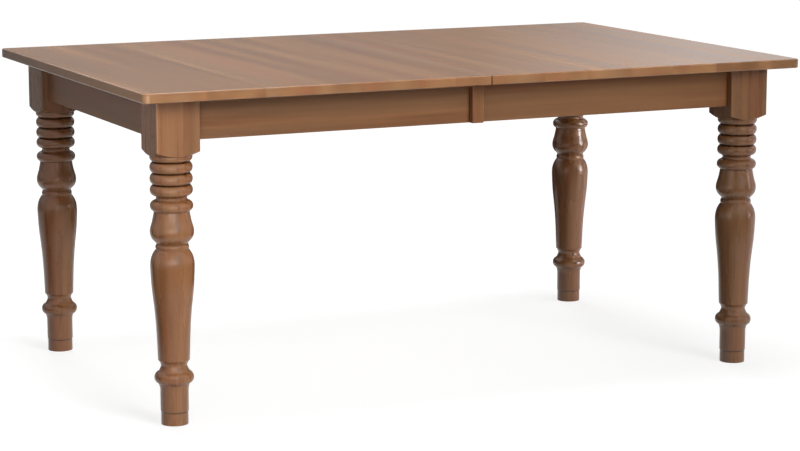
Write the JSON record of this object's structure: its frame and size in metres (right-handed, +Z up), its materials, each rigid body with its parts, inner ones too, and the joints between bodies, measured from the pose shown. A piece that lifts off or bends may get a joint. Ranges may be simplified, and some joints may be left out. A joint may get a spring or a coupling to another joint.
{
  "type": "extension dining table",
  "caption": "Rectangular wooden dining table on turned legs with square heads, recessed aprons and a board top split across the middle, whose halves draw apart on geared wooden slides.",
  "frame": {"origin": "on the floor under the middle of the closed table", "axes": "+X along the length towards the right half, -Y the front long side, +Z up"},
  "size_m": [1.6764, 1.0668, 0.762],
  "materials": {
    "top_wood": "satin brown stain",
    "leg_wood": "satin brown stain",
    "apron_wood": "satin brown stain",
    "plain_hardwood": "clear, matt",
    "nylon": "natural",
    "zinc_steel": "zinc plated"
  },
  "bodies": {
    "left_half": {"back_batten": "apron_wood", "back_left_apron": "apron_wood", "back_left_corner_block": "plain_hardwood", "back_left_leg": "leg_wood", "back_left_rail": "plain_hardwood", "front_left_apron": "apron_wood", "front_left_corner_block": "plain_hardwood", "front_left_leg": "leg_wood", "front_left_rail": "plain_hardwood", "left_board_1": "top_wood", "left_board_2": "top_wood", "left_board_3": "top_wood", "left_board_4": "top_wood", "left_board_5": "top_wood", "left_board_6": "top_wood", "left_board_7": "top_wood", "left_end_apron": "apron_wood", "left_foot_glides": "nylon", "left_leg_bolts": "zinc_steel", "left_leg_nuts": "zinc_steel", "left_long_screws": "zinc_steel", "left_racks": "nylon", "left_short_screws": "zinc_steel", "left_top_clips": "zinc_steel", "lock_keepers": "zinc_steel"},
    "back_lock": {"back_lock_lever": "zinc_steel"},
    "back_middle_slide": {"back_middle_rail": "plain_hardwood", "back_pinion_pin": "zinc_steel"},
    "back_gear": {"back_pinion": "nylon"},
    "right_half": {"back_right_apron": "apron_wood", "back_right_corner_block": "plain_hardwood", "back_right_leg": "leg_wood", "back_right_rail": "plain_hardwood", "front_batten": "apron_wood", "front_right_apron": "apron_wood", "front_right_corner_block": "plain_hardwood", "front_right_leg": "leg_wood", "front_right_rail": "plain_hardwood", "lock_plates": "zinc_steel", "right_board_1": "top_wood", "right_board_2": "top_wood", "right_board_3": "top_wood", "right_board_4": "top_wood", "right_board_5": "top_wood", "right_board_6": "top_wood", "right_board_7": "top_wood", "right_end_apron": "apron_wood", "right_foot_glides": "nylon", "right_leg_bolts": "zinc_steel", "right_leg_nuts": "zinc_steel", "right_long_screws": "zinc_steel", "right_racks": "nylon", "right_short_screws": "zinc_steel", "right_top_clips": "zinc_steel", "seam_pins": "plain_hardwood"},
    "front_lock": {"front_lock_lever": "zinc_steel"},
    "front_middle_slide": {"front_middle_rail": "plain_hardwood", "front_pinion_pin": "zinc_steel"},
    "front_gear": {"front_pinion": "nylon"}
  },
  "joints": [
    {"name": "extension_slide", "type": "slide", "parent": "left_half", "child": "right_half", "axis": [1, 0, 0], "range_m": [0, 0.9144]},
    {"name": "front_middle_rail_slide", "type": "slide", "parent": "left_half", "child": "front_middle_slide", "axis": [1, 0, 0], "range_m": [0, 0.4572]},
    {"name": "front_pinion_turn", "type": "hinge", "parent": "front_middle_slide", "child": "front_gear", "pos_m": [0, -0.1924, 0.7028], "axis": [0, 0, -1], "range_deg": [0, 1456]},
    {"name": "back_middle_rail_slide", "type": "slide", "parent": "left_half", "child": "back_middle_slide", "axis": [1, 0, 0], "range_m": [0, 0.4572]},
    {"name": "back_pinion_turn", "type": "hinge", "parent": "back_middle_slide", "child": "back_gear", "pos_m": [0, 0.1924, 0.7028], "axis": [0, 0, -1], "range_deg": [0, 1456]},
    {"name": "front_lock_swing", "type": "hinge", "parent": "right_half", "child": "front_lock", "pos_m": [0.024, -0.3225, 0.7348], "axis": [0, 0, -1], "range_deg": [0, 90]},
    {"name": "back_lock_swing", "type": "hinge", "parent": "right_half", "child": "back_lock", "pos_m": [0.024, 0.3225, 0.7348], "axis": [0, 0, -1], "range_deg": [0, 90]}
  ],
  "couplings": [
    {"joint": "front_middle_rail_slide", "follows": "extension_slide", "ratio": 0.5},
    {"joint": "front_pinion_turn", "follows": "extension_slide", "rad_per_m": 27.778},
    {"joint": "back_middle_rail_slide", "follows": "extension_slide", "ratio": 0.5},
    {"joint": "back_pinion_turn", "follows": "extension_slide", "rad_per_m": 27.778}
  ]
}
